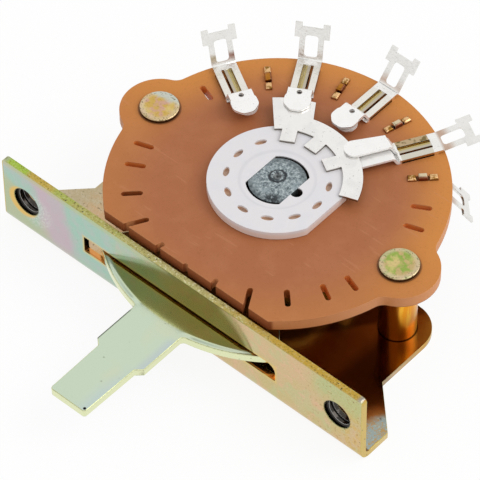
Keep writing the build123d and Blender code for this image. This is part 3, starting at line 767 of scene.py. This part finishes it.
def silver_blade():
    """Flat silver-plated blade with fine specks, painted shade on its cut walls and on its lower half
    towards the floor.
    """
    material, paint = new_material("silver_blade")
    spot = paint.place()
    z = paint.axes(spot)[2]
    cloud = paint.noise(spot, 0.5, 2.0)
    fleck = paint.noise(spot, 5.0, 1.0, 0.5)
    wave = paint.noise(spot, 0.9, 2.0)
    above = paint.size(z - WAFER_MIDDLE) - BLADE_TOP + WAFER_MIDDLE
    wall = paint.fall(above, -0.1, -0.05)
    colour = paint.blend(
        tone(238, 236, 233),
        (paint.rise(cloud, 0.45, 0.62) * 0.5, tone(226, 224, 222)),
        (paint.rise(fleck, 0.7, 0.74) * 0.4, tone(140, 134, 126)),
        # Painted shade: darker on the lower half, towards the floor
        (paint.fall(z, WAFER_MIDDLE - 1.0, WAFER_MIDDLE) * 0.6, tone(150, 110, 66)),
        # Painted shade: the cut walls dark
        (wall * 0.9, tone(112, 104, 90)),
    )
    close(paint, base_color=colour, metallic=1.0, roughness=0.26, normal=paint.bump(wave * 0.03))
    return material


def strip_edge():
    """Sheared edge of the silver strip, a little greyer and browner than its faces."""
    material, paint = new_material("sheared_edge")
    grain = paint.noise(paint.place(), 3.0, 2.0)
    colour = paint.mix(paint.rise(grain, 0.4, 0.65), tone(176, 166, 154), tone(220, 212, 204))
    close(paint, base_color=colour, metallic=0.6, roughness=0.35)
    return material


def grey_casting():
    """Grainy grey shaft with a ringed punch mark beside the middle of its end and a chip in its rim."""
    material, paint = new_material("grey_casting")
    spot = paint.place()
    x, y, z = paint.axes(spot)
    grain = paint.noise(spot, 3.0, 3.0, 0.75)
    patch = paint.noise(spot, 0.8, 2.0)
    ragged = paint.noise(spot, 2.4, 2.0, 0.6)
    radius = paint.from_pivot(x, y)
    end = paint.rise(z, SHAFT_TOP - 0.12, SHAFT_TOP - 0.02)
    from_mark = paint.apart(x - PUNCH_X, y - PIVOT_Y - PUNCH_Y) + (ragged - 0.5) * 0.5
    mark = paint.fall(from_mark, 0.88, 1.0)
    mark_ring = paint.rise(from_mark, 0.62, 0.72)
    mark_pit = paint.mix(paint.rise(ragged, 0.44, 0.54), tone(52, 60, 65), tone(190, 200, 202))
    mark_colour = paint.mix(mark_ring, mark_pit, tone(46, 53, 58))
    from_chip = paint.apart(x - CHIP_X, y - PIVOT_Y - CHIP_Y)
    chip = paint.fall(from_chip, 0.5, 1.1) * paint.rise(ragged, 0.42, 0.52)
    colour = paint.blend(
        tone(140, 151, 155),
        (paint.rise(grain, 0.5, 0.62), tone(186, 195, 196)),
        (paint.fall(grain, 0.38, 0.49), tone(92, 103, 107)),
        (paint.rise(patch, 0.5, 0.66) * 0.4, tone(166, 180, 184)),
        # Painted shade: darker towards the rim of the end
        (paint.rise(radius, SHAFT_EDGE - 0.9, SHAFT_EDGE) * 0.6, tone(84, 91, 94)),
        (mark * 0.85, mark_colour),
        (chip * 0.9, tone(40, 44, 46)),
        # Painted shade: the shaft's sides below its end dark
        ((1 - end) * 0.7, tone(64, 62, 60)),
    )
    close(paint, base_color=colour, metallic=0.7, roughness=0.5, normal=paint.bump(grain * 0.05))
    return material


def inner_steel():
    """Plain steel of the hidden detent pieces, clouded by a little oil."""
    material, paint = new_material("inner_steel")
    spot = paint.place()
    cloud = paint.noise(spot, 0.6, 3.0)
    grain = paint.noise(spot, 4.0, 2.0)
    colour = paint.blend(
        tone(176, 174, 168),
        (paint.rise(cloud, 0.45, 0.65) * 0.7, tone(150, 146, 136)),
        (paint.rise(grain, 0.58, 0.7) * 0.4, tone(116, 110, 100)),
    )
    rough = 0.28 + cloud * 0.15
    close(paint, base_color=colour, metallic=1.0, roughness=rough, normal=paint.bump(grain * 0.01))
    return material


def thread_steel():
    """Cut thread with bright crests and painted shade in its roots."""
    material, paint = new_material("cut_thread")
    spot = paint.place()
    x, _, z = paint.axes(spot)
    from_bore = paint.apart(paint.size(x) - BORE_X, z)
    grain = paint.noise(spot, 4.0, 2.0)
    root = paint.rise(from_bore + grain * 0.06, 1.46, 1.54)
    colour = paint.mix(root, tone(186, 184, 180), tone(60, 57, 54))
    close(paint, base_color=colour, metallic=1.0, roughness=0.35)
    return material


UPPER_STRIP = silver_strip("silver_strip_upper", 1, UPPER_ANGLE, 0.0)
LOWER_STRIP = silver_strip("silver_strip_lower", -1, LOWER_ANGLE, 0.6)
SHEARED = strip_edge()
POST = golden_post()
RIVET = rivet_plating()
STEEL = inner_steel()

# Finish of each kind of node: surface, rounded edge and edge rounding in millimetres
FINISHES = {
    "frame": (zinc_sheet(), zinc_edge(), 0.07),
    "lever": (zinc_lever(), lever_edge(), 0.08),
    "spacer": (POST, POST, 0.03),
    "rivet": (RIVET, RIVET, 0.04),
    "spring_rivet": (STEEL, STEEL, 0.04),
    "wafer": (laminate(), None, 0.07),
    "terminal_upper": (UPPER_STRIP, SHEARED, 0.045),
    "terminal_lower": (LOWER_STRIP, SHEARED, 0.045),
    "contact_upper": (UPPER_STRIP, SHEARED, 0.045),
    "contact_lower": (LOWER_STRIP, SHEARED, 0.045),
    "blade": (silver_blade(), SHEARED, 0.04),
    "rotor": (white_moulding(), None, 0.07),
    "shaft": (grey_casting(), None, 0.05),
    "pivot_washer": (STEEL, None, 0.04),
    "detent": (STEEL, None, 0.03),
    "lever_spacer": (STEEL, None, 0.04),
    "lever_retainer": (STEEL, None, 0.04),
}
EDGE_ANGLE = radians(50)
EDGE_SEGMENTS = 2
FLAT_ANGLE = radians(0.5)
FLAT_WEIGHT = 80
MERGE_GAP = 0.0005 * MM


def finish_of(node):
    """Finish by the longest name that the node starts with."""
    return FINISHES[max((kind for kind in FINISHES if node.startswith(kind)), key=len)]


def only(piece):
    """Select one piece alone and make it the active one."""
    bpy.ops.object.select_all(action="DESELECT")
    piece.select_set(True)
    bpy.context.view_layer.objects.active = piece


def apply_modifier(piece, kind, **settings):
    """Add a modifier to the active piece and apply it."""
    modifier = piece.modifiers.new(kind.lower(), kind)
    for name, value in settings.items():
        setattr(modifier, name, value)
    bpy.ops.object.modifier_apply(modifier=modifier.name)


def finished_copy(node):
    """A node's own form with its flat faces joined, its sharp edges rounded and its shading smooth."""
    source = frame["nodes"][node]
    surface, edge, width = finish_of(node)
    piece = bpy.data.objects.new("finished_" + node, source.data.copy())
    bpy.context.scene.collection.objects.link(piece)
    only(piece)
    piece.data.materials.clear()
    piece.data.materials.append(surface)
    piece.data.materials.append(edge or surface)
    bpy.ops.object.mode_set(mode="EDIT")
    bpy.ops.mesh.select_all(action="SELECT")
    bpy.ops.mesh.remove_doubles(threshold=MERGE_GAP)
    bpy.ops.mesh.dissolve_limited(angle_limit=FLAT_ANGLE)
    bpy.ops.object.mode_set(mode="OBJECT")
    apply_modifier(
        piece,
        "BEVEL",
        width=width * MM,
        segments=EDGE_SEGMENTS,
        limit_method="ANGLE",
        angle_limit=EDGE_ANGLE,
        material=1,
    )
    bpy.ops.object.shade_smooth_by_angle(angle=EDGE_ANGLE)
    apply_modifier(piece, "WEIGHTED_NORMAL", keep_sharp=True, weight=FLAT_WEIGHT)
    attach(piece, source["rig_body"])
    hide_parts(node)


for row in frame["record"]["subparts"]:
    finished_copy(row["node"])

# Cut thread of the mounting holes, in metres
THREAD = thread_steel()
THREAD_PITCH = 0.55 * MM
THREAD_TURNS = 2
THREAD_START = 0.3 * MM
THREAD_CORNERS = 3
THREAD_RIDGE = 0.24 * MM
THREAD_SUNK = 0.03 * MM
THREAD_STEPS = 40


def cut_thread(name, x):
    """Ridge of the thread in a mounting hole, wound from a three-cornered profile."""
    bpy.ops.object.select_all(action="DESELECT")
    bpy.ops.mesh.primitive_circle_add(
        vertices=THREAD_CORNERS,
        radius=THREAD_RIDGE,
        location=(HOLE_RADIUS + THREAD_SUNK, THREAD_START, 0),
        rotation=(0, 0, pi / 2),
    )
    piece = bpy.context.object
    piece.name = name
    bpy.ops.object.transform_apply(location=True, rotation=True, scale=True)
    apply_modifier(
        piece,
        "SCREW",
        axis="Y",
        angle=2 * pi,
        screw_offset=THREAD_PITCH,
        iterations=THREAD_TURNS,
        steps=THREAD_STEPS,
        render_steps=THREAD_STEPS,
    )
    bpy.ops.object.mode_set(mode="EDIT")
    bpy.ops.mesh.select_all(action="SELECT")
    bpy.ops.mesh.remove_doubles(threshold=MERGE_GAP)
    bpy.ops.mesh.fill_holes(sides=THREAD_CORNERS)
    bpy.ops.mesh.select_all(action="SELECT")
    bpy.ops.mesh.normals_make_consistent(inside=False)
    bpy.ops.object.mode_set(mode="OBJECT")
    piece.location = (x, 0, 0)
    bpy.ops.object.transform_apply(location=True, rotation=False, scale=False)
    bpy.ops.object.shade_smooth_by_angle(angle=EDGE_ANGLE)
    piece.data.materials.append(THREAD)
    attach(piece, "frame_assembly")


cut_thread("thread_left", -HOLE_X)
cut_thread("thread_right", HOLE_X)


def camera_axes():
    """Right, up and back directions of the camera."""
    azimuth = radians(CAMERA_AZIMUTH)
    elevation = radians(CAMERA_ELEVATION)
    roll = radians(CAMERA_ROLL)
    back = Vector((sin(azimuth) * cos(elevation), -cos(azimuth) * cos(elevation), sin(elevation)))
    level_right = Vector((cos(azimuth), sin(azimuth), 0))
    level_up = back.cross(level_right)
    right = cos(roll) * level_right + sin(roll) * level_up
    up = cos(roll) * level_up - sin(roll) * level_right
    return right, up, back


def place_camera():
    """Long-lens camera at the photograph's viewing angle."""
    right, up, back = camera_axes()
    data = bpy.data.cameras.new("camera")
    data.sensor_width = CAMERA_SENSOR
    data.lens = CAMERA_LENS
    data.clip_start = CAMERA_NEAR
    camera = bpy.data.objects.new("camera", data)
    turn = Matrix((right, up, back)).transposed().to_4x4()
    camera.matrix_world = Matrix.Translation(CAMERA_TARGET + CAMERA_DISTANCE * back) @ turn
    bpy.context.scene.collection.objects.link(camera)
    bpy.context.scene.camera = camera


def add_light(name, place, aim, size, power):
    """Soft square lamp."""
    data = bpy.data.lights.new(name, "AREA")
    data.shape = "SQUARE"
    data.size = size
    data.energy = power
    lamp = bpy.data.objects.new(name, data)
    lamp.location = place
    lamp.rotation_euler = (Vector(aim) - Vector(place)).to_track_quat("-Z", "Y").to_euler()
    bpy.context.scene.collection.objects.link(lamp)


def ray_kinds(paint):
    """Masks for rays straight from the camera, and for mirrored or passed ones."""
    path = paint.node("LightPath").socket.node
    seen = Wire(paint, path.outputs["Is Camera Ray"])
    glossy = Wire(paint, path.outputs["Is Glossy Ray"])
    through = Wire(paint, path.outputs["Is Transmission Ray"])
    return seen, paint.larger(glossy, through)


def light_world():
    """White surroundings, dimmer as light on the object, with the dark side of a studio to mirror."""
    world = bpy.data.worlds.new("studio")
    world.use_nodes = True
    bpy.context.scene.world = world
    paint = Paint(world.node_tree)
    seen, mirrored = ray_kinds(paint)
    way = paint.node("TexCoord", output=0)
    facing = paint.node("VectorMath", {"operation": "DOT_PRODUCT"}, {0: way, 1: DARK_SIDE}, output=1)
    mirror_level = 1 - DARK_DROP * paint.rise(facing, DARK_START, DARK_FULL)
    strength = paint.larger(seen, mirrored * mirror_level)
    strength = paint.larger(strength, (1 - paint.larger(seen, mirrored)) * SKY_LIGHT)
    sky = paint.node("Background", None, {"Color": (1, 1, 1, 1), "Strength": strength})
    paint.node("OutputWorld", None, {"Surface": sky})


def lay_floor():
    """Pale floor that keeps a soft shadow."""
    bpy.ops.object.select_all(action="DESELECT")
    bpy.ops.mesh.primitive_plane_add(size=FLOOR_SIZE, location=(0, 0, PLATE_LOW.z - FLOOR_GAP))
    floor = bpy.context.object
    floor.name = "floor"
    material, paint = new_material("pale_floor")
    seen, mirrored = ray_kinds(paint)
    lit = paint.node("BsdfDiffuse", None, {"Color": (1, 1, 1, 1)})
    glow = paint.node("Emission", None, {"Color": (1, 1, 1, 1), "Strength": 1.0})
    share = paint.larger(seen, mirrored) * FLOOR_GLOW
    both = paint.node("MixShader", None, {0: share, 1: lit, 2: glow})
    paint.node("OutputMaterial", None, {"Surface": both})
    floor.data.materials.append(material)


bpy.context.scene.view_settings.view_transform = "Standard"
place_camera()
light_world()
lay_floor()
add_light("key", KEY_PLACE, KEY_AIM, KEY_SIZE, KEY_POWER)
